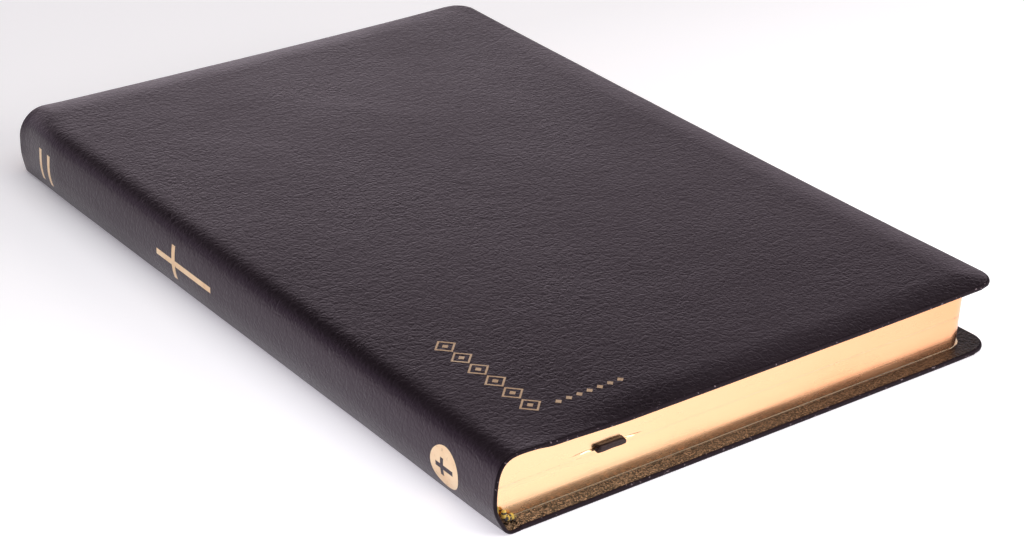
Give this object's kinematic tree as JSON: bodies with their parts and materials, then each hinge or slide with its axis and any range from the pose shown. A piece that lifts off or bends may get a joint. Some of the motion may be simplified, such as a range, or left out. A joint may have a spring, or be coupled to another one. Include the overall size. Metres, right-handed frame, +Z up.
{
  "type": "bible",
  "caption": "Slim book bound in limp black leather with a rounded spine shoulder and corners, gilt page edges, a ribbon marker and covers and pages that open.",
  "frame": {"origin": "middle of the footprint, on the back cover's outer face that the book rests on", "axes": "+X from the spine to the fore edge, +Y from the tail to the head, +Z up through the thickness from the back cover to the front cover"},
  "size_m": [0.14, 0.21, 0.0183],
  "materials": {
    "leather": "fine-grained black leather with a soft sheen",
    "liner_card": "thin limp card",
    "endpaper": "uncoated off-white paper",
    "bible_paper": "thin cream paper, gilt on its three cut edges",
    "spine_paper": "brown kraft paper",
    "mull_cloth": "open-weave starched cotton",
    "sewing_thread": "waxed thread",
    "band_cloth": "yellow and black striped band",
    "gold_foil": "satin gold foil",
    "ribbon": "black woven ribbon"
  },
  "bodies": {
    "back_cover": {"back_cover_leather": "leather", "back_cover_card": "liner_card", "back_pastedown": "endpaper"},
    "back_flyleaf": {"back_flyleaf": "endpaper"},
    "rear_block": {"signature_17": "bible_paper", "signature_18": "bible_paper", "signature_19": "bible_paper", "signature_20": "bible_paper", "signature_21": "bible_paper", "signature_22": "bible_paper", "signature_23": "bible_paper", "signature_24": "bible_paper", "signature_25": "bible_paper", "signature_26": "bible_paper", "signature_27": "bible_paper", "signature_28": "bible_paper", "signature_29": "bible_paper", "signature_30": "bible_paper", "signature_31": "bible_paper", "signature_32": "bible_paper", "spine_leather_rear": "leather", "spine_lining_rear": "spine_paper", "mull_rear": "mull_cloth", "sewing_thread_rear": "sewing_thread", "spine_foil_rear": "gold_foil", "head_band": "band_cloth", "tail_band": "band_cloth"},
    "centre_leaf_rear": {"centre_leaf_rear": "bible_paper"},
    "centre_leaf_front": {"centre_leaf_front": "bible_paper"},
    "front_block": {"signature_01": "bible_paper", "signature_02": "bible_paper", "signature_03": "bible_paper", "signature_04": "bible_paper", "signature_05": "bible_paper", "signature_06": "bible_paper", "signature_07": "bible_paper", "signature_08": "bible_paper", "signature_09": "bible_paper", "signature_10": "bible_paper", "signature_11": "bible_paper", "signature_12": "bible_paper", "signature_13": "bible_paper", "signature_14": "bible_paper", "signature_15": "bible_paper", "signature_16": "bible_paper", "spine_leather_front": "leather", "spine_lining_front": "spine_paper", "mull_front": "mull_cloth", "sewing_thread_front": "sewing_thread", "spine_foil_front": "gold_foil", "ribbon_marker": "ribbon"},
    "front_flyleaf": {"front_flyleaf": "endpaper"},
    "front_cover": {"front_cover_leather": "leather", "front_cover_card": "liner_card", "front_pastedown": "endpaper", "cover_foil": "gold_foil"}
  },
  "joints": [
    {"name": "back_cover_hinge", "type": "hinge", "parent": "back_cover", "child": "rear_block", "pos_m": [-0.07, 0, 0], "axis": [0, 1, 0], "range_deg": [-90, 0]},
    {"name": "back_flyleaf_turn", "type": "hinge", "parent": "back_cover", "child": "back_flyleaf", "pos_m": [-0.0668, 0, 0.00141], "axis": [0, 1, 0], "range_deg": [-9, 0]},
    {"name": "centre_opening", "type": "hinge", "parent": "rear_block", "child": "front_block", "pos_m": [-0.0715, 0, 0.00915], "axis": [0, -1, 0], "range_deg": [0, 178]},
    {"name": "centre_leaf_rear_turn", "type": "hinge", "parent": "rear_block", "child": "centre_leaf_rear", "pos_m": [-0.0715, 0, 0.00915], "axis": [0, -1, 0], "range_deg": [0, 11]},
    {"name": "centre_leaf_front_turn", "type": "hinge", "parent": "rear_block", "child": "centre_leaf_front", "pos_m": [-0.0715, 0, 0.00915], "axis": [0, -1, 0], "range_deg": [0, 170]},
    {"name": "front_cover_hinge", "type": "hinge", "parent": "front_block", "child": "front_cover", "pos_m": [-0.062, 0, 0.0184], "axis": [0, -1, 0], "range_deg": [0, 178]},
    {"name": "front_flyleaf_turn", "type": "hinge", "parent": "front_block", "child": "front_flyleaf", "pos_m": [-0.0618, 0, 0.01689], "axis": [0, -1, 0], "range_deg": [0, 11]}
  ],
  "couplings": [
    {"joint": "back_flyleaf_turn", "follows": "back_cover_hinge", "ratio": 0.1},
    {"joint": "centre_leaf_rear_turn", "follows": "centre_opening", "ratio": 0.06},
    {"joint": "centre_leaf_front_turn", "follows": "centre_opening", "ratio": 0.94},
    {"joint": "front_flyleaf_turn", "follows": "front_cover_hinge", "ratio": 0.06}
  ]
}
